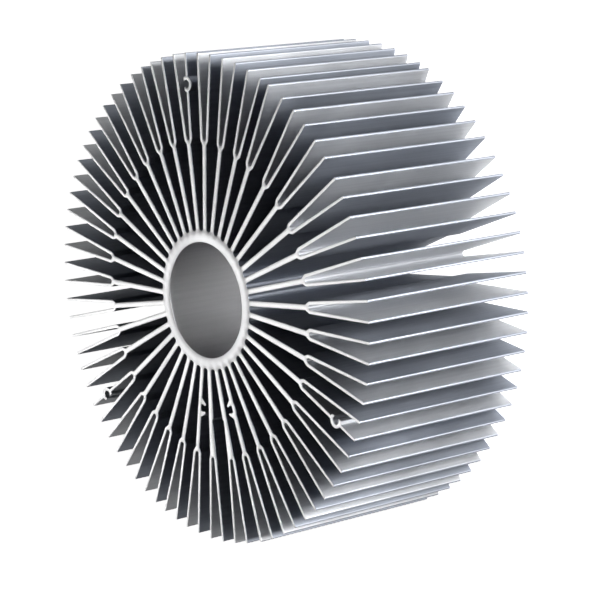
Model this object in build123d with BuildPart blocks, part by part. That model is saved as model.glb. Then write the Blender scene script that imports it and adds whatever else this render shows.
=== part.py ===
from build123d import *
import os
from math import asin, cos, degrees, radians, sin, sqrt, tan

# Sunflower heat sink: one aluminium extrusion, cut square at both ends.
# A round hub carries radial stems, and each stem forks into two thin fins.
# Z runs along the extrusion, from the lower cut end at z = 0 to the upper one.
# Y points at the stem of the first screw channel, opposite the cable slot.

# Body, in millimetres
body_length = 84.0
fin_circle_radius = 100.0
bore_radius = 23.75
hub_wall = 4.65

# Stems
stem_count = 39
stem_thickness = 2.2
slot_root_fillet = 1.05

# Forks and fins
fork_root_radius = 65.0
fork_slot_width = 2.1
fin_root_thickness = 1.45
fin_tip_thickness = 1.1
fin_tip_chamfer = 0.3
fork_back_turn = 34.0

# Screw channels on the fins, each open towards the slot of its own fork
screw_channel_count = 3
screw_circle_radius = 87.5
screw_channel_hollow = 3.4
screw_channel_wall = 1.45
screw_channel_opening = 2.35
screw_channel_reach = 1.4
screw_channel_inset = 0.5
screw_lip_fillet = 0.5

# Cable slot between two stems that stand back from it
cable_slot_half_width = 3.87
cable_slot_start = 49.5
cable_slot_step = 0.75
cable_slot_fork_width = 1.8
cable_slot_shoulder_run = 2.2
cable_slot_shoulder = 0.9

# Hooked channels on the next stem to each side, open towards the cable slot
hook_radius = 45.5
hook_hollow = 2.95
hook_opening = 2.5
hook_floor = 0.45
hook_reach = 3.4
hook_mouth = 0.8
hook_lip = 0.9
hook_slope = 38.0
hook_back_swell = 0.35
hook_back_length = 4.8
hook_fillet = 0.4
hook_corner = 0.6

# Stems that came out of the die leaning: how far their fin tips lie from the regular
# place, anticlockwise, by the stem's number counted from the first screw channel
tip_lean = {2: -1.2, 12: -1.0, 17: -1.0, 18: -1.6, 19: -1.3, 20: -1.3, 33: 1.3, 34: 1.5}
# One stem is bent over between the hub and its fork, and its fins stand further apart
bent_stem = 35
bent_stem_shift = 1.9
bent_stem_spread = 0.6

# What follows from these
stem_pitch = 360 / stem_count
slot_root_radius = bore_radius + hub_wall
root_x = slot_root_radius - hub_wall / 2
half_stem = stem_thickness / 2
fork_centre_x = fork_root_radius + fork_slot_width / 2
cable_slot_stem = stem_count // 2
screw_stems = [round(i * stem_count / screw_channel_count) for i in range(screw_channel_count)]
# How near a corner lies to the place that it is picked by
same_place = 0.01
# The largest share of the hub's rim beside a stem that the rounding of its root may take
root_fillet_share = 0.9


def stem_angle(number):
    """Direction of a stem's profile, from X; the cable slot's two share the slot's own."""
    between = {cable_slot_stem: 0.5, cable_slot_stem + 1: -0.5}
    return 90 + (number + between.get(number, 0)) * stem_pitch


def tip_shift(number):
    """How far a stem's fin tips lie to the left of their regular place."""
    if number == bent_stem:
        return bent_stem_shift
    return tip_lean.get(number, 0.0)


def fork_shift(number):
    """How far a stem's fork lies to the left of its regular place."""
    if number == bent_stem:
        return bent_stem_shift
    share = (fork_root_radius - slot_root_radius) / (fin_circle_radius - slot_root_radius)
    return tip_shift(number) * share


def fin_tip(angle, shift=0.0):
    """Middle of a fin's tip, at an angle from X, moved to the left by the shift."""
    return Vector(fin_circle_radius * cos(radians(angle)), fin_circle_radius * sin(radians(angle)) + shift)


def chamfer_fin_tips(profile):
    """Breaks the four corners at the tips of a profile's two fins."""
    chamfer(profile.vertices().sort_by(Axis.X)[-4:], fin_tip_chamfer)


def fork_profile(number):
    """A stem and its two fins, lying along X, from inside the hub to the fin tips."""
    inner_radius = fork_slot_width / 2
    outer_radius = inner_radius + fin_root_thickness
    rim = Vector(slot_root_radius, 0)
    centre = Vector(fork_centre_x, fork_shift(number))
    along = (centre - rim).normalized()
    root = rim - along * hub_wall / 2
    across = Vector(-along.Y, along.X)
    lean = degrees(asin(along.Y))
    turn = radians(fork_back_turn)
    run_in = outer_radius * sin(turn) + (outer_radius * cos(turn) - half_stem) / tan(turn)
    spread = bent_stem_spread if number == bent_stem else 0.0
    with BuildSketch() as profile:
        with BuildLine():
            for side in (1, -1):
                tip = fin_tip(side * stem_pitch / 4, tip_shift(number) + side * spread)
                half_tip = Vector(0, side * fin_tip_thickness / 2)
                back = CenterArc(centre, outer_radius, lean + side * 90, side * fork_back_turn)
                Polyline(
                    root + across * side * half_stem,
                    centre - along * run_in + across * side * half_stem,
                    back @ 1,
                )
                Polyline(
                    centre + across * side * outer_radius,
                    tip + half_tip,
                    tip - half_tip,
                    centre + across * side * inner_radius,
                )
            CenterArc(centre, inner_radius, lean + 90, 180)
            Line(root + across * half_stem, root - across * half_stem)
        make_face()
        chamfer_fin_tips(profile)
    return profile.sketch


def screw_channel_profile(number):
    """A stem whose right-hand fin carries a screw channel."""
    fork = fork_profile(number)
    hollow_radius = screw_channel_hollow / 2
    outer_radius = hollow_radius + screw_channel_wall
    base_y = -(fork_slot_width + fin_root_thickness) / 2
    tip = fin_tip(-stem_pitch / 4)
    share = (screw_circle_radius - fork_centre_x) / (tip.X - fork_centre_x)
    centre_y = base_y + (tip.Y - base_y) * share + screw_channel_inset
    centre_x = sqrt(screw_circle_radius**2 - centre_y**2)
    with BuildSketch() as channel:
        with Locations((centre_x, centre_y)):
            Circle(outer_radius)
        with Locations((centre_x, centre_y + screw_channel_reach)):
            Rectangle(3 * outer_radius, outer_radius, align=(Align.CENTER, Align.MIN), mode=Mode.SUBTRACT)
    with BuildSketch() as hollow:
        with Locations((centre_x, centre_y)):
            Circle(hollow_radius)
            Rectangle(screw_channel_opening, outer_radius, align=(Align.CENTER, Align.MIN))
    with BuildSketch() as profile:
        add(fork)
        add(channel.sketch)
        add(hollow.sketch, mode=Mode.SUBTRACT)
        lip_y = centre_y + screw_channel_reach
        lips = profile.vertices().filter_by(lambda vertex: abs(vertex.Y - lip_y) < same_place)
        fillet(lips.sort_by(Axis.X)[:1] + lips.sort_by(Axis.X)[-1:], screw_lip_fillet)
    return profile.sketch


def hooked_profile(number, side):
    """A stem with a hooked channel on its left (side 1) or its right (side -1)."""
    fork = fork_profile(number)
    half_top = hook_opening / 2 + hook_lip
    half_base = half_top + (hook_reach - half_stem) * tan(radians(hook_slope))
    hollow_depth = hook_reach - hook_mouth - hook_floor
    with BuildSketch() as hollow:
        with Locations((hook_radius, side * (hook_floor + hollow_depth / 2))):
            RectangleRounded(hook_hollow, hollow_depth, hook_corner)
        with Locations((hook_radius, side * hook_reach)):
            Rectangle(hook_opening, 2 * (hook_mouth + hook_corner))
    with BuildSketch() as profile:
        add(fork)
        with BuildLine():
            Polyline(
                (hook_radius - half_base, 0),
                (hook_radius - half_base, side * half_stem),
                (hook_radius - half_top, side * hook_reach),
                (hook_radius + half_top, side * hook_reach),
                (hook_radius + half_base, side * half_stem),
                (hook_radius + half_base, 0),
                close=True,
            )
        make_face()
        with BuildLine():
            back = ThreePointArc(
                (hook_radius - hook_back_length / 2, -side * half_stem),
                (hook_radius, -side * (half_stem + hook_back_swell)),
                (hook_radius + hook_back_length / 2, -side * half_stem),
            )
            Line(back @ 1, back @ 0)
        make_face()
        add(hollow.sketch, mode=Mode.SUBTRACT)
        half_span = half_top + same_place
        lips = (
            profile.vertices()
            .filter_by_position(Axis.X, hook_radius - half_span, hook_radius + half_span)
            .filter_by(lambda vertex: abs(vertex.Y - side * hook_reach) < same_place)
        )
        fillet(lips, hook_fillet)
    return profile.sketch


def cable_slot_profile(side):
    """The stem on one side of the cable slot, with the slot's middle along X."""
    slot_radius = cable_slot_fork_width / 2
    fork_x = fork_root_radius + slot_radius
    fork_y = cable_slot_half_width + fin_root_thickness + slot_radius
    outer_y = fork_y + slot_radius + fin_root_thickness
    lean = side * tip_shift(cable_slot_stem)
    root_y = root_x * tan(radians(stem_pitch / 2))
    near = fin_tip(stem_pitch / 4, lean)
    far = fin_tip(3 * stem_pitch / 4, lean)
    half_tip = Vector(0, fin_tip_thickness / 2)
    with BuildSketch() as profile:
        with BuildLine():
            Polyline(
                (fork_x, fork_y - slot_radius),
                near + half_tip,
                near - half_tip,
                (fork_x, cable_slot_half_width),
                (cable_slot_start, cable_slot_half_width),
                (cable_slot_start - cable_slot_step, cable_slot_half_width - cable_slot_step),
                (root_x, root_y - half_stem),
                (root_x, root_y + half_stem),
                (fork_x - cable_slot_shoulder_run, outer_y - cable_slot_shoulder),
                (fork_x, outer_y),
                far + half_tip,
                far - half_tip,
                (fork_x, fork_y + slot_radius),
            )
            CenterArc((fork_x, fork_y), slot_radius, 90, 180)
        make_face()
        chamfer_fin_tips(profile)
        if side < 0:
            mirror(about=Plane.XZ, mode=Mode.REPLACE)
    return profile.sketch


def rooted(profile, sector_start):
    """A stem's profile joined to its sector of the hub, with rounded slot roots beside it."""
    with BuildSketch() as sector:
        add(profile)
        with BuildLine():
            rim = CenterArc((0, 0), slot_root_radius, sector_start, stem_pitch)
            Polyline(rim @ 1, (0, 0), rim @ 0)
        make_face()
        rim_vertices = sector.vertices().filter_by(
            lambda vertex: abs(Vector(vertex).length - slot_root_radius) < same_place
        )
        corners = rim_vertices.sort_by(Axis((0, 0, 0), rim.tangent_at(0.5)))[1:-1]
        room = min((Vector(corners[0]) - rim @ 0).length, (Vector(corners[1]) - rim @ 1).length)
        fillet(corners, min(slot_root_fillet, root_fillet_share * room))
    return sector.sketch


# The stems that differ from the plain one, by number
special_profiles = {number: fork_profile(number) for number in [*tip_lean, bent_stem]}
for number in screw_stems:
    special_profiles[number] = screw_channel_profile(number)
special_profiles[cable_slot_stem - 1] = hooked_profile(cable_slot_stem - 1, 1)
special_profiles[cable_slot_stem] = cable_slot_profile(-1)
special_profiles[cable_slot_stem + 1] = cable_slot_profile(1)
special_profiles[cable_slot_stem + 2] = hooked_profile(cable_slot_stem + 2, -1)
plain_stems = [number for number in range(stem_count) if number not in special_profiles]

# The extrusion's section, and the bar cut to length
with BuildPart() as heat_sink:
    with BuildSketch(Plane.XY) as section:
        plain_sector = rooted(fork_profile(plain_stems[0]), -stem_pitch / 2)
        with Locations(*[Location((0, 0, 0), stem_angle(number)) for number in plain_stems]):
            add(plain_sector)
        for number, profile in special_profiles.items():
            sector_start = {cable_slot_stem: -stem_pitch, cable_slot_stem + 1: 0}.get(number, -stem_pitch / 2)
            with Locations(Location((0, 0, 0), stem_angle(number))):
                add(rooted(profile, sector_start))
        Circle(bore_radius, mode=Mode.SUBTRACT)
    extrude(amount=body_length)
heat_sink.part.label = "heat_sink"

os.makedirs("parts", exist_ok=True)
export_step(heat_sink.part, "parts/heat_sink.step")
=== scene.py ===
# %% [markdown]
# # A sunflower heat sink, from its frame to its finish
#
# The part is one aluminium extrusion. A billet was pushed through a die with the section of
# a hub, 39 stems and 78 fins, and the bar was then sawn into lengths. Everything that the
# eye sees comes from those two steps: walls with faint lines along the bar, where the die
# dragged on the metal, and bright flat ends, where the saw cut it.
#
# The frame holds the exact solid. This lesson reads its section, builds a finer mesh on it,
# gives each kind of surface its own finish, and lights it as a small studio would.

# %% Load the frame
from math import cos, radians, sin

import bmesh
import bpy
from mathutils import Matrix, Vector


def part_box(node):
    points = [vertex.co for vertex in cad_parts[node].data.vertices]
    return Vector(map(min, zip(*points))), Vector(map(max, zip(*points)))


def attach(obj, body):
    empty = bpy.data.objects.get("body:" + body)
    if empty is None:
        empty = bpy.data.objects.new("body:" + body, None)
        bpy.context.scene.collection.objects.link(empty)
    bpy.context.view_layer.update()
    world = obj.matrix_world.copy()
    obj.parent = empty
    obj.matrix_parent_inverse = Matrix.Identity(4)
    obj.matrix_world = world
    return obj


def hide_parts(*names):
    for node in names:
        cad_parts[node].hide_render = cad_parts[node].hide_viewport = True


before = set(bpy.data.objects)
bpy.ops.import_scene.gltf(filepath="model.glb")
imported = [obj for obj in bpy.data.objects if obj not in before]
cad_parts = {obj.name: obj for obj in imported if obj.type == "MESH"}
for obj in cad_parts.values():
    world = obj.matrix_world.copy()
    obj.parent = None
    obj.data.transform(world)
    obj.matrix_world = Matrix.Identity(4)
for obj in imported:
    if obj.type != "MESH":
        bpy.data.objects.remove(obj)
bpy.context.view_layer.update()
low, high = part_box("heat_sink")
print("the solid reaches from", tuple(round(v, 4) for v in low), "to", tuple(round(v, 4) for v in high))

# %% [markdown]
# ## The camera
#
# In the photograph the heat sink seems to float on its side, with its axis almost level. The
# real one stands on its sawn end, so here the camera is rolled by about a right angle
# instead, and looks down past the top end. Its place and lens were fitted to the tips, forks
# and bore in the photograph, and are written as a distance and three angles from a point
# inside the hub, because those say more to a reader than a matrix does. Blender counts in
# metres, and the small sizes from here on are written as so many millimetres.

# %% Place the camera
millimetre = 0.001
camera_distance = 0.982
camera_azimuth = 6.376
camera_elevation = 38.932
camera_roll = -99.887
camera_lens = 143.9
camera_reach = 50.0
camera_target = Vector((0.0004, -0.0039, 0.0377))

azimuth = radians(camera_azimuth)
elevation = radians(camera_elevation)
towards_camera = Vector((cos(elevation) * cos(azimuth), cos(elevation) * sin(azimuth), sin(elevation)))
level_view = (-towards_camera).to_track_quat("-Z", "Y").to_matrix().to_4x4()
camera_place = Matrix.Translation(camera_target + towards_camera * camera_distance)
camera = bpy.data.objects.new("camera", bpy.data.cameras.new("camera"))
camera.data.lens = camera_lens
camera.data.clip_end = camera_reach
camera.matrix_world = camera_place @ level_view @ Matrix.Rotation(radians(camera_roll), 4, "Z")
bpy.context.scene.collection.objects.link(camera)
bpy.context.scene.camera = camera
print("camera at", tuple(round(v, 3) for v in camera.matrix_world.translation))

# %% [markdown]
# ## The section, read back from the frame
#
# A finer mesh needs the outline of the section as rings of points: one ring round all the
# stems and fins, and one round the bore. They could be typed in again from sizes, but then
# two files would say the same thing, and one of them would be wrong some day. So the rings
# are read from the solid's own top face: its border edges, walked from point to point. The
# faces are taken in the mesh's own order, so that a ring starts at the same point in each run.

# %% Read the rings of the section
weld_distance = 0.001 * millimetre
level_distance = 0.01 * millimetre


def section_rings(mesh, height):
    """The closed outlines of the mesh's flat face at a height, as lists of 2-D points."""
    solid = bmesh.new()
    solid.from_mesh(mesh)
    bmesh.ops.remove_doubles(solid, verts=solid.verts, dist=weld_distance)
    solid.verts.index_update()
    solid.verts.ensure_lookup_table()
    top_faces = [f for f in solid.faces if all(abs(v.co.z - height) < level_distance for v in f.verts)]
    in_the_top = set(top_faces)
    following = {}
    for face in top_faces:
        for loop in face.loops:
            neighbours = [f for f in loop.edge.link_faces if f not in in_the_top]
            if neighbours:
                following[loop.vert.index] = loop.link_loop_next.vert.index
    rings = []
    while following:
        start, current = following.popitem()
        ring = [start]
        while current != start:
            ring.append(current)
            current = following.pop(current)
        rings.append([Vector(solid.verts[index].co.xy) for index in ring])
    solid.free()
    return sorted(rings, key=len, reverse=True)


rings = section_rings(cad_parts["heat_sink"].data, high.z)
print("rings of the section:", [len(ring) for ring in rings])

# %% [markdown]
# ## Points that hold the shading
#
# A long flat fin ends in small round corners. When Blender smooths the shading over both, the
# corner's turn leaks across the whole flat and the fin looks inflated. The cure is a
# supporting point on the flat, a short step before each corner, so that the turn is used up
# there and the rest stays flat.

# %% Add supporting points
support_step = 0.25 * millimetre
long_stretch = 1.0 * millimetre


def with_supports(ring):
    """The ring with one more point near each end of every long straight stretch."""
    supported = []
    for point, after in zip(ring, ring[1:] + ring[:1]):
        supported.append(point)
        step = after - point
        if step.length > long_stretch:
            step = step.normalized() * support_step
            supported.append(point + step)
            supported.append(after - step)
    return supported


rings = [with_supports(ring) for ring in rings]
print("with supports:", [len(ring) for ring in rings])

# %% [markdown]
# ## Forks, and slots with painted shade
#
# Going round the section, one slot in two is the inside of a fork and stops at its crotch, and
# the next one runs down between two stems to the hub. In the photograph the fins look light
# and dark by turns, so the slots that go to the hub get walls of a darker grey. That grey is
# painted shade, fitted to the picture: the metal is the same all over, and only the light makes
# the difference. The ring tells the slots apart by itself: between one fin tip and the next,
# its nearest point to the axis is at the hub or isn't. The narrow tips get the same painted
# shade, because it keeps them visible against the white table, as they are in the photograph.

# %% Tell the edges with painted shade from the others
tip_band = 0.6 * millimetre
hub_reach = 45.0 * millimetre


def painted_shade_edges(ring):
    """For each edge of the ring, whether it gets painted shade: on a fin tip or in a slot to the hub."""
    tip_radius = max(point.length for point in ring) - tip_band
    tips = [i for i, point in enumerate(ring) if point.length > tip_radius]
    painted_shade = [False] * len(ring)
    for tip, next_tip in zip(tips, tips[1:] + [tips[0] + len(ring)]):
        slot = [i % len(ring) for i in range(tip, next_tip)]
        on_a_tip = len(slot) == 1
        if on_a_tip or min(ring[i].length for i in slot) < hub_reach:
            for i in slot:
                painted_shade[i] = True
    return painted_shade


# Which edges get painted shade: the walls of the slots to the hub and the fin tips.
painted_shade = painted_shade_edges(rings[0])
print("dull edges:", sum(painted_shade), "of", len(painted_shade))

# %% [markdown]
# ## Broken edges
#
# A saw leaves a sharp edge round every wall. Such edges are often broken with a brush, by
# less than a tenth of a millimetre, and that is enough to catch the light. The photograph is
# too small to show how far these are broken, so the size is a guess. Blender's bevel modifier
# could make it, but on a flat end cut into thousands of thin triangles it is easily confused.
# Here the rings are stacked by hand instead: up the wall, then two rings that step inwards
# over the edge. Halfway round its turn, a rounded edge lies 0.29 of its radius from both of
# its faces. A supporting ring near each end keeps the turn of the edge off the tall wall.

# %% Step the rings over the edges
edge_break = 0.05 * millimetre
edge_support = 0.12 * millimetre
share_at_half_turn = 0.29
least_cosine = 0.5


def inset(ring, amount):
    """The ring moved into the metal on its left by the amount, and at a corner by up to twice it."""
    moved = []
    for before, point, after in zip(ring[-1:] + ring[:-1], ring, ring[1:] + ring[:1]):
        side_in = (point - before).normalized().orthogonal()
        side_out = (after - point).normalized().orthogonal()
        across = (side_in + side_out).normalized()
        moved.append(point + across * amount / max(across.dot(side_out), least_cosine))
    return moved


def ring_stack(ring):
    """The rings of one wall from the lower end to the upper one, each as 3-D points."""
    halfway = share_at_half_turn * edge_break
    steps = [(0.0, edge_break), (halfway, halfway), (edge_break, 0.0), (edge_support, 0.0)]
    lower = [(low.z + up, inwards) for up, inwards in steps]
    upper = [(high.z - up, inwards) for up, inwards in reversed(steps)]
    return [[Vector((p.x, p.y, z)) for p in inset(ring, amount)] for z, amount in lower + upper]


print("rings up each wall:", len(ring_stack(rings[0])))

# %% [markdown]
# ## Walls and sawn ends
#
# Two neighbouring rings of the stack and the edges between them give a strip of four-sided
# faces, and the strips together are the walls. Each end is then filled with triangles between
# its two last rings, which Blender does by itself for any outline. The walls are shaded
# smooth, and every real corner is marked sharp by its angle, so that the ends stay flat.

# %% Build the mesh
# The last slot is for the walls with painted shade, a darker grey where the metal is really the same.
wall_slot, end_slot, bore_slot, painted_shade_slot = range(4)
sharp_angle = 50.0


def slot_of_wall(ring_number, edge):
    """The material slot over an edge: ring 0 goes round the fins, and ring 1 round the bore."""
    if ring_number:
        return bore_slot
    return painted_shade_slot if painted_shade[edge] else wall_slot


def build_heat_sink(rings):
    """One closed mesh, with a slot each for fork walls, sawn ends, the bore and walls with painted
    shade.
    """
    body = bmesh.new()
    ends = {0: [], 1: []}
    for ring_number, ring in enumerate(rings):
        levels = [[body.verts.new(point) for point in level] for level in ring_stack(ring)]
        for below, above in zip(levels, levels[1:]):
            for i in range(len(ring)):
                j = (i + 1) % len(ring)
                face = body.faces.new((below[i], above[i], above[j], below[j]))
                face.material_index = slot_of_wall(ring_number, i)
                face.smooth = True
        for end, level in ((0, levels[0]), (1, levels[-1])):
            ends[end] += [body.edges.get((level[i - 1], level[i])) for i in range(len(level))]
    for end, edges in ends.items():
        filled = bmesh.ops.triangle_fill(body, use_beauty=True, edges=edges, normal=(0, 0, 2 * end - 1))
        for face in filled["geom"]:
            if isinstance(face, bmesh.types.BMFace):
                face.material_index = end_slot
    bmesh.ops.recalc_face_normals(body, faces=body.faces)
    mesh = bpy.data.meshes.new("extrusion")
    body.to_mesh(mesh)
    body.free()
    return mesh


extrusion_mesh = build_heat_sink(rings)
extrusion_mesh.set_sharp_from_angle(angle=radians(sharp_angle))
extrusion = bpy.data.objects.new("extrusion", extrusion_mesh)
bpy.context.scene.collection.objects.link(extrusion)
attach(extrusion, "root")
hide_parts("heat_sink")
print("extrusion:", len(extrusion_mesh.vertices), "points,", len(extrusion_mesh.polygons), "faces")

# %% [markdown]
# ## A small kit for finishes
#
# Each finish below is a few texture nodes that steer one metal shader. Writing out every
# node and link would bury the idea, so short helpers make a material, add a node with its
# settings, and give the textures that come back most: noise, a ramp of greys, and a value
# that swings a little to each side of its middle. Noise may be anything from 0 to 1 but
# seldom leaves the middle of that range, so the ramps of greys run from 0.3 to 0.7.

# %% Helpers for materials
noise_low = 0.3
noise_high = 0.7


def add_node(tree, kind, settings=None, **inputs):
    """A node of that kind with its settings, and its inputs given by name with _ for a space."""
    node = tree.nodes.new(kind)
    for name, value in (settings or {}).items():
        setattr(node, name, value)
    for name, value in inputs.items():
        socket = node.inputs[name.replace("_", " ")]
        if isinstance(value, bpy.types.NodeSocket):
            tree.links.new(value, socket)
        else:
            socket.default_value = value
    return node


def new_metal(name):
    """A material with one metal shader, its node tree, and places on the object."""
    material = bpy.data.materials.new(name)
    material.use_nodes = True
    tree = material.node_tree
    shader = tree.nodes["Principled BSDF"]
    shader.inputs["Metallic"].default_value = 1.0
    place = add_node(tree, "ShaderNodeTexCoord").outputs["Object"]
    return material, tree, shader, place


def noise(tree, place, scale, detail):
    """Soft noise over the places, from 0 to 1."""
    return add_node(tree, "ShaderNodeTexNoise", Vector=place, Scale=scale, Detail=detail).outputs["Fac"]


def ramp(tree, factor, *stops):
    """A colour ramp over the factor, with its stops as pairs of a place and a colour."""
    node = add_node(tree, "ShaderNodeValToRGB", Fac=factor)
    for element, (place, colour) in zip(node.color_ramp.elements, stops):
        element.position = place
        element.color = (*colour, 1)
    return node.outputs["Color"]


def swing(tree, factor, middle, half):
    """A factor of 0 to 1 turned into a value that swings about its middle."""
    node = add_node(tree, "ShaderNodeMapRange", Value=factor, To_Min=middle - half, To_Max=middle + half)
    return node.outputs["Result"]


print("ramps of grey run from", noise_low, "to", noise_high)

# %% [markdown]
# ## Walls from the die
#
# Extruded walls are smooth across and faintly streaked along the bar. The streaks come from
# the die, so they never wander: the same line runs from end to end. Noise that is squeezed
# across the section and stretched a hundredfold along the axis gives just that, once for the
# colour and once, finer, for the bump. A third noise, in clouds about two centimetres wide,
# shifts the gloss a little, as handling does. All three are typical of such metal, and finer
# or fainter than the photograph can show.
#
# The walls deep between the stems, and the fin tips, are set darker and bluer than those inside
# the forks: painted shade, to match their tones in the photograph. They are more matt too. Light that
# bounces down a slot takes on the metal's colour at every bounce, so small steps in colour here turn
# into large ones there.

# %% Finish of the walls
fork_dark = (0.62, 0.63, 0.65)
fork_light = (0.69, 0.70, 0.72)
fork_roughness = 0.42
# Painted shade: the deep walls and fin tips get a darker, bluer grey than the forks, though the metal is
# the same.
deep_painted_shade_dark = (0.345, 0.37, 0.42)
deep_painted_shade_light = (0.415, 0.44, 0.49)
deep_roughness = 0.5
stretch_along_bar = (1.0, 1.0, 0.01)
streaks_per_metre = 900.0
streak_detail = 4.0
lines_per_metre = 6000.0
line_detail = 2.0
line_strength = 0.08
scratch_depth = 0.05 * millimetre
clouds_per_metre = 45.0
cloud_detail = 3.0
gloss_swing = 0.08


def die_wall_finish(name, dark, light, roughness, streakiness):
    """Satin extruded metal with lines along the bar and a cloudy gloss."""
    material, tree, shader, place = new_metal(name)
    stretched = add_node(tree, "ShaderNodeMapping", Vector=place, Scale=stretch_along_bar)
    along_bar = stretched.outputs["Vector"]
    streaks = noise(tree, along_bar, streaks_per_metre, streak_detail)
    lines = noise(tree, along_bar, lines_per_metre, line_detail)
    clouds = noise(tree, place, clouds_per_metre, cloud_detail)
    greys = ramp(tree, streaks, (noise_low, dark), (noise_high, light))
    tree.links.new(greys, shader.inputs["Base Color"])
    gloss = swing(tree, clouds, roughness, gloss_swing * streakiness)
    tree.links.new(gloss, shader.inputs["Roughness"])
    strength = line_strength * streakiness
    bump = add_node(tree, "ShaderNodeBump", Height=lines, Strength=strength, Distance=scratch_depth)
    tree.links.new(bump.outputs["Normal"], shader.inputs["Normal"])
    return material


fork_wall = die_wall_finish("die_wall", fork_dark, fork_light, fork_roughness, 1.0)
# The deep walls and fin tips take the painted shade.
deep_wall_painted_shade = die_wall_finish("deep_wall_painted_shade", deep_painted_shade_dark, deep_painted_shade_light, deep_roughness, 1.0)
print("walls:", fork_wall.name, "and", deep_wall_painted_shade.name)

# %% [markdown]
# ## Where the hub ring ends
#
# The hub is the one broad flat on the end, and in the photograph it is a shade greyer than
# the stems. Why isn't known, so a plain tint does it. A texture needs to know which of the
# two it is on, and the distance from the axis tells it: flatten the place on the object, take
# its length, and turn a narrow band of lengths into a step from 0 to 1.

# %% Tell the hub ring from the stems
ring_edge = 28.5 * millimetre
ring_fade = 1.0 * millimetre
flatten = (1.0, 1.0, 0.0)


def past_ring(tree, place):
    """A factor of 0 on the hub ring and 1 on the stems, with a short soft step between."""
    flat = add_node(tree, "ShaderNodeVectorMath", {"operation": "MULTIPLY"})
    flat.inputs[1].default_value = flatten
    tree.links.new(place, flat.inputs[0])
    radius = add_node(tree, "ShaderNodeVectorMath", {"operation": "LENGTH"})
    tree.links.new(flat.outputs["Vector"], radius.inputs[0])
    step = add_node(tree, "ShaderNodeMapRange", Value=radius.outputs["Value"])
    step.inputs["From Min"].default_value = ring_edge - ring_fade
    step.inputs["From Max"].default_value = ring_edge + ring_fade
    return step.outputs["Result"]


print("the hub ring ends", ring_edge, "m from the axis")

# %% [markdown]
# ## Colour of the sawn ends
#
# The ends are almost white in the photograph. Sawn metal often is, because each tooth drags a
# fine scratch and thousands of them scatter the light wide. A fine speckle between two near
# greys keeps the colour from being flat. The hub ring gets the same speckle, multiplied by a
# light grey tint, which keeps the grain and only takes the shade down.

# %% Colour of the sawn ends
end_dark = (0.86, 0.86, 0.86)
end_light = (0.94, 0.94, 0.94)
ring_tint = (0.84, 0.84, 0.85)
no_tint = (1.0, 1.0, 1.0)


def end_colour(tree, place, speckle):
    """Almost white with a fine speckle, and a shade greyer on the hub ring."""
    tint = ramp(tree, past_ring(tree, place), (0.0, ring_tint), (1.0, no_tint))
    grain = ramp(tree, speckle, (noise_low, end_dark), (noise_high, end_light))
    tinted = add_node(tree, "ShaderNodeVectorMath", {"operation": "MULTIPLY"})
    tree.links.new(tint, tinted.inputs[0])
    tree.links.new(grain, tinted.inputs[1])
    return tinted.outputs["Vector"]


print("ends are", end_dark[0], "to", end_light[0], "bright")

# %% [markdown]
# ## Marks of the saw
#
# The photograph is too small to show the marks of the saw, so these are typical ones. A blade
# is far larger than the part, and its marks are nearly straight arcs about one centre, well
# outside it. Here they are the rings of a wave texture, kept faint, with the speckle on top.
# A wave texture of scale 1 has its rings 0.314 units apart, so its scale is
# that spacing divided by the one that the marks should have.

# %% Finish of the sawn ends
blade_centre = Vector((0.21, -0.12, 0.0))
tooth_mark = 0.9 * millimetre
spacing_at_scale_one = 0.314
mark_wobble = 1.5
mark_strength = 0.05
speckle_per_metre = 2500.0
speckle_detail = 3.0
speckle_strength = 0.2
end_roughness = 0.42
end_gloss_swing = 0.06


def sawn_end_finish():
    """Bright sawn metal with arcs of tooth marks and a fine speckle."""
    material, tree, shader, place = new_metal("sawn_end")
    speckle = noise(tree, place, speckle_per_metre, speckle_detail)
    clouds = noise(tree, place, clouds_per_metre, cloud_detail)
    from_blade = add_node(tree, "ShaderNodeMapping", Vector=place, Location=-blade_centre)
    rings_on = {"wave_type": "RINGS", "rings_direction": "Z"}
    wave = add_node(tree, "ShaderNodeTexWave", rings_on, Vector=from_blade.outputs["Vector"])
    wave.inputs["Scale"].default_value = spacing_at_scale_one / tooth_mark
    wave.inputs["Distortion"].default_value = mark_wobble
    mark_bump = add_node(tree, "ShaderNodeBump", Height=wave.outputs["Fac"], Distance=scratch_depth)
    mark_bump.inputs["Strength"].default_value = mark_strength
    bump = add_node(tree, "ShaderNodeBump", Height=speckle, Distance=scratch_depth)
    bump.inputs["Strength"].default_value = speckle_strength
    gloss = swing(tree, clouds, end_roughness, end_gloss_swing)
    tree.links.new(end_colour(tree, place, speckle), shader.inputs["Base Color"])
    tree.links.new(gloss, shader.inputs["Roughness"])
    tree.links.new(mark_bump.outputs["Normal"], bump.inputs["Normal"])
    tree.links.new(bump.outputs["Normal"], shader.inputs["Normal"])
    return material


sawn_end = sawn_end_finish()
print("ends:", sawn_end.name, "with marks", tooth_mark, "m apart")

# %% [markdown]
# ## The bore
#
# In the photograph the bore is an even grey with hardly a line in it. It takes the same
# finish as the walls with its streaks turned down, and a glossier surface. The four materials
# go to the mesh in the order of its slots.

# %% Finish of the bore
bore_dark = (0.68, 0.68, 0.69)
bore_light = (0.72, 0.72, 0.73)
bore_roughness = 0.31
bore_streakiness = 0.2
bore_wall = die_wall_finish("bore_wall", bore_dark, bore_light, bore_roughness, bore_streakiness)
for material in (fork_wall, sawn_end, bore_wall, deep_wall_painted_shade):
    extrusion_mesh.materials.append(material)
print("materials:", [material.name for material in extrusion_mesh.materials])

# %% [markdown]
# ## The floor
#
# A product shot like this one stands on a white table so well lit that it turns into plain
# white. To the camera the floor therefore glows. To the metal it doesn't: a glowing floor
# would shine up through every slot and wash out the dark ones, so for all other rays it stays
# a pale matt surface that gives back only what the lamps give it.

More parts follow.
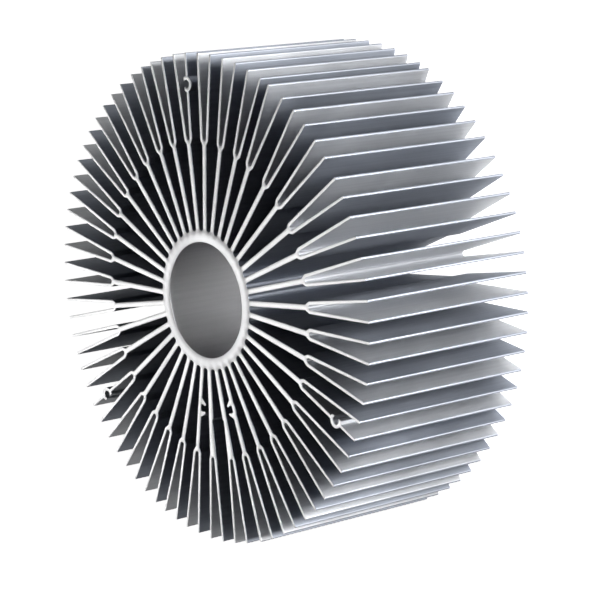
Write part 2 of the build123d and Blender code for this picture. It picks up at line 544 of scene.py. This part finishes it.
# %% Lay the floor
floor_half = 3.0
corners = [(x * floor_half, y * floor_half, 0) for x, y in ((-1, -1), (1, -1), (1, 1), (-1, 1))]
floor_mesh = bpy.data.meshes.new("floor")
floor_mesh.from_pydata(corners, [], [(0, 1, 2, 3)])
floor = bpy.data.objects.new("floor", floor_mesh)
bpy.context.scene.collection.objects.link(floor)
print("floor:", 2 * floor_half, "m wide")

# %% [markdown]
# ## Paint for the floor
#
# Two surfaces share the floor, plain matt paint and the same paint with a glow added, and the
# kind of ray picks one of them. The part's own metal never asks for the kind of ray, so it
# looks the same in every view.

# %% Finish of the floor
floor_colour = (0.9, 0.9, 0.9, 1)
floor_roughness = 0.9
floor_glow = 0.9


def floor_finish():
    """Pale matt paint that glows, but only for the camera."""
    material = bpy.data.materials.new("floor_paint")
    material.use_nodes = True
    tree = material.node_tree
    paint = tree.nodes["Principled BSDF"]
    paint.inputs["Base Color"].default_value = floor_colour
    paint.inputs["Roughness"].default_value = floor_roughness
    glow = add_node(tree, "ShaderNodeEmission", Strength=floor_glow)
    glowing_paint = add_node(tree, "ShaderNodeAddShader")
    to_camera = add_node(tree, "ShaderNodeLightPath").outputs["Is Camera Ray"]
    either = add_node(tree, "ShaderNodeMixShader", Fac=to_camera)
    tree.links.new(paint.outputs["BSDF"], glowing_paint.inputs[0])
    tree.links.new(glow.outputs["Emission"], glowing_paint.inputs[1])
    tree.links.new(paint.outputs["BSDF"], either.inputs[1])
    tree.links.new(glowing_paint.outputs["Shader"], either.inputs[2])
    tree.links.new(either.outputs["Shader"], tree.nodes["Material Output"].inputs["Surface"])
    return material


floor_mesh.materials.append(floor_finish())
print("floor paint:", floor_mesh.materials[0].name)

# %% [markdown]
# ## Lamps that can be placed by angle
#
# The soft lights all stand equally far away and are turned to the part, so an azimuth and an
# elevation say where each one is. Three helpers are enough: one turns the angles into a
# place, one hangs any lamp and points it, and one makes a rectangular soft light.

# %% Helpers for lamps
lamp_distance = 2.0


def around(azimuth, elevation):
    """The place of a lamp, with its azimuth and elevation in degrees."""
    level = lamp_distance * cos(radians(elevation))
    height = lamp_distance * sin(radians(elevation))
    return Vector((level * cos(radians(azimuth)), level * sin(radians(azimuth)), height))


def add_lamp(lamp, place, target):
    """The lamp at a place, turned to a target."""
    holder = bpy.data.objects.new(lamp.name, lamp)
    turn = (target - place).to_track_quat("-Z", "Y").to_matrix().to_4x4()
    holder.matrix_world = Matrix.Translation(place) @ turn
    bpy.context.scene.collection.objects.link(holder)
    print("lamp:", lamp.name, lamp.energy, "W at", tuple(round(v, 2) for v in place))


def soft_light(name, place, target, width, height, power):
    """A rectangular soft light."""
    lamp = bpy.data.lights.new(name, "AREA")
    lamp.shape = "RECTANGLE"
    lamp.size = width
    lamp.size_y = height
    lamp.energy = power
    add_lamp(lamp, place, target)


print("soft lights stand", lamp_distance, "m away")

# %% [markdown]
# ## Low lamps for the walls
#
# The walls stand upright, so what lights them comes from low down. The key lamp is a wide
# strip on the camera's side, hardly higher than the heat sink itself. It shines straight into
# the mouths of the near slots and leaves the far ones black, because the part is in its way.
# A lamp this low also grazes the flat ends without touching the walls just below them, which
# keeps every edge crisp. Three weak strips stand round the other sides. They lift those from
# black to dark grey, and the first one lights the fin tips that are uppermost in the picture.
# With the far one three times as strong, that side got only a little lighter, and the forks in
# the photograph's view went further from their tones there.

# %% Make the low lamps
strip_height = 0.14
strip_width = 1.0
key_azimuth = 10.0
key_elevation = 2.5
key_width = 1.2
key_power = 140.0
weak_strips = {"tips_strip": (80.0, 8.0), "back_strip": (186.0, 6.0), "far_strip": (270.0, 4.0)}
middle = Vector((0, 0, 0.03))

soft_light("key", around(key_azimuth, key_elevation), middle, key_width, strip_height, key_power)
for name, (strip_azimuth, strip_power) in weak_strips.items():
    strip_place = around(strip_azimuth, key_elevation)
    soft_light(name, strip_place, middle, strip_width, strip_height, strip_power)

# %% [markdown]
# ## High lamps for the ends
#
# A flat end is bright for an eye that finds a lamp in its mirror direction: straight across
# the part and equally high. One square lamp stands there for the camera, only a shade lower
# and to one side, so that the ends are whitest at the left and fade a little to the right.
# Three weaker ones, a quarter turn apart, do the same for whoever walks round the table.

# %% Make the high lamps
square = 0.6
square_powers = (4.5, 1.0, 1.5, 1.0)
quarter_turn = 90.0
off_mirror = 2.5
across_azimuth = camera_azimuth + 2 * quarter_turn + off_mirror
square_elevation = camera_elevation - off_mirror
top_middle = Vector((0, 0, high.z))
for turn, square_power in enumerate(square_powers):
    square_place = around(across_azimuth + quarter_turn * turn, square_elevation)
    soft_light(f"square_{turn}", square_place, top_middle, square, square, square_power)

# %% [markdown]
# ## Three spots from above
#
# Light that falls straight down doesn't touch the upright walls at all. It lands on the table
# and comes back up as a soft glow on their lower ends. A narrow spot down the bore gives its
# wall the even grey, and a wider one over the near tips gives those walls their pale lower
# corners. The third makes a bright patch on the table in front of the part. It shines into the
# near slots, and lightens a little the one fork that the camera sees end-on.

# %% Make the spots
bore_spot_angle = 0.0225
bore_spot_power = 128.0
tips_spot_place = 0.1
tips_spot_angle = 0.085
tips_spot_power = 75.0
front_spot_place = 0.25
front_spot_angle = 0.11
front_spot_power = 700.0
crisp_rim = 0.3
soft_rim = 0.6
small_bulb = 10.0 * millimetre
large_bulb = 20.0 * millimetre


def spot_down(name, x, angle, power, rim, bulb):
    """A spot straight above the table, with its beam's angle in radians and how soft its rim is."""
    lamp = bpy.data.lights.new(name, "SPOT")
    lamp.spot_size = angle
    lamp.spot_blend = rim
    lamp.shadow_soft_size = bulb
    lamp.energy = power
    add_lamp(lamp, Vector((x, 0, lamp_distance)), Vector((x, 0, 0)))


spot_down("down_the_bore", 0.0, bore_spot_angle, bore_spot_power, crisp_rim, small_bulb)
spot_down("over_the_tips", tips_spot_place, tips_spot_angle, tips_spot_power, soft_rim, large_bulb)
spot_down("in_front", front_spot_place, front_spot_angle, front_spot_power, soft_rim, large_bulb)

# %% [markdown]
# ## Air, bounces and film
#
# Light that goes down a slot is passed from wall to wall many times before it comes out,
# so the renderer is allowed more bounces than usual. With too few, the slots turn black and
# lose their depth. The air around is almost dark, and the plain view transform keeps white
# white.

# %% Set the world
air_colour = (1, 1, 1, 1)
air_glow = 0.03
bounces = 24
air = bpy.data.worlds.new("studio_air")
air.use_nodes = True
air_background = air.node_tree.nodes["Background"]
air_background.inputs["Color"].default_value = air_colour
air_background.inputs["Strength"].default_value = air_glow
bpy.context.scene.world = air
bpy.context.scene.view_settings.view_transform = "Standard"
bpy.context.scene.cycles.max_bounces = bounces
bpy.context.scene.cycles.glossy_bounces = bounces
print("bounces allowed:", bpy.context.scene.cycles.glossy_bounces)
